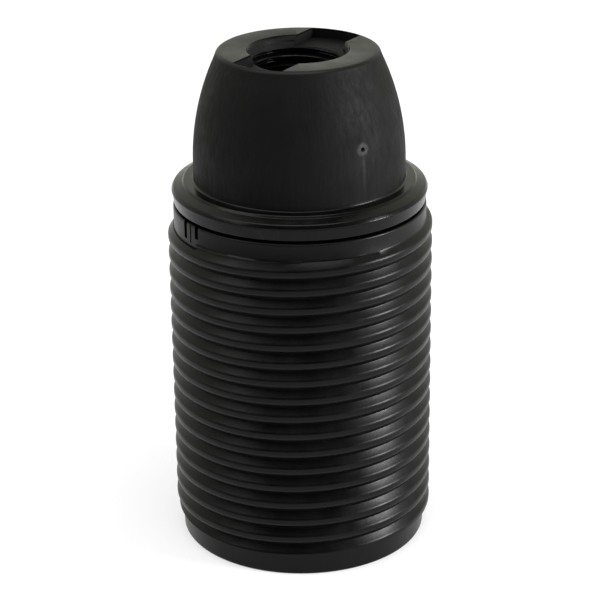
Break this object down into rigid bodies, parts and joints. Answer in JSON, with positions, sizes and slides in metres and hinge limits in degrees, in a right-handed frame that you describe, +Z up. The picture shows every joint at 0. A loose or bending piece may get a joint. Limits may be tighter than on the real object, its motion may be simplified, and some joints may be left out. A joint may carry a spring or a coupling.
{
  "type": "lamp holder",
  "caption": "Fully threaded small-screw lamp holder in black moulded plastic, with a domed screw-on cap and a threaded cable entry.",
  "frame": {"origin": "centre of the mouth rim, which the holder stands on", "axes": "+Z up along the holder's axis, from the mouth to the cable entry; +Y to the back; the live terminal is on the +X side"},
  "size_m": [0.0278, 0.0278, 0.0539],
  "materials": {
    "black_shell": "satin moulded",
    "black_core": "matte moulded",
    "contact_brass": "rolled strip",
    "plated_steel": "zinc plated"
  },
  "bodies": {
    "skirt": {"skirt": "black_shell"},
    "core": {"core": "black_core", "centre_contact": "contact_brass", "side_contact": "contact_brass", "live_nut": "plated_steel", "neutral_nut": "plated_steel"},
    "cap": {"cap": "black_shell"},
    "button": {"contact_button": "contact_brass"},
    "live_clamp": {"live_clamp": "plated_steel"},
    "live_screw": {"live_screw": "plated_steel"},
    "neutral_clamp": {"neutral_clamp": "plated_steel"},
    "neutral_screw": {"neutral_screw": "plated_steel"}
  },
  "joints": [
    {"name": "cap_turn", "type": "hinge", "parent": "skirt", "child": "core", "pos_m": [0, 0, 0.035], "axis": [0, 0, 1], "range_deg": [0, 540]},
    {"name": "cap_lift", "type": "slide", "parent": "core", "child": "cap", "axis": [0, 0, 1], "range_m": [0, 0.00375]},
    {"name": "button_press", "type": "slide", "parent": "core", "child": "button", "axis": [0, 0, 1], "range_m": [0, 0.0012], "stiffness_N_per_m": 1500, "springref_m": -0.0004, "deforming": ["centre_contact"]},
    {"name": "live_clamp_lift", "type": "slide", "parent": "core", "child": "live_clamp", "axis": [0, 0, 1], "range_m": [0, 0.002]},
    {"name": "live_screw_turn", "type": "hinge", "parent": "live_clamp", "child": "live_screw", "pos_m": [0.0046, 0, 0.038], "axis": [0, 0, 1], "range_deg": [0, 1440.1]},
    {"name": "neutral_clamp_lift", "type": "slide", "parent": "core", "child": "neutral_clamp", "axis": [0, 0, 1], "range_m": [0, 0.002]},
    {"name": "neutral_screw_turn", "type": "hinge", "parent": "neutral_clamp", "child": "neutral_screw", "pos_m": [-0.0046, 0, 0.038], "axis": [0, 0, 1], "range_deg": [0, 1440.1]}
  ],
  "couplings": [
    {"joint": "cap_lift", "follows": "cap_turn", "m_per_rad": 0.00039789},
    {"joint": "live_screw_turn", "follows": "live_clamp_lift", "rad_per_m": 12566},
    {"joint": "neutral_screw_turn", "follows": "neutral_clamp_lift", "rad_per_m": 12566}
  ]
}
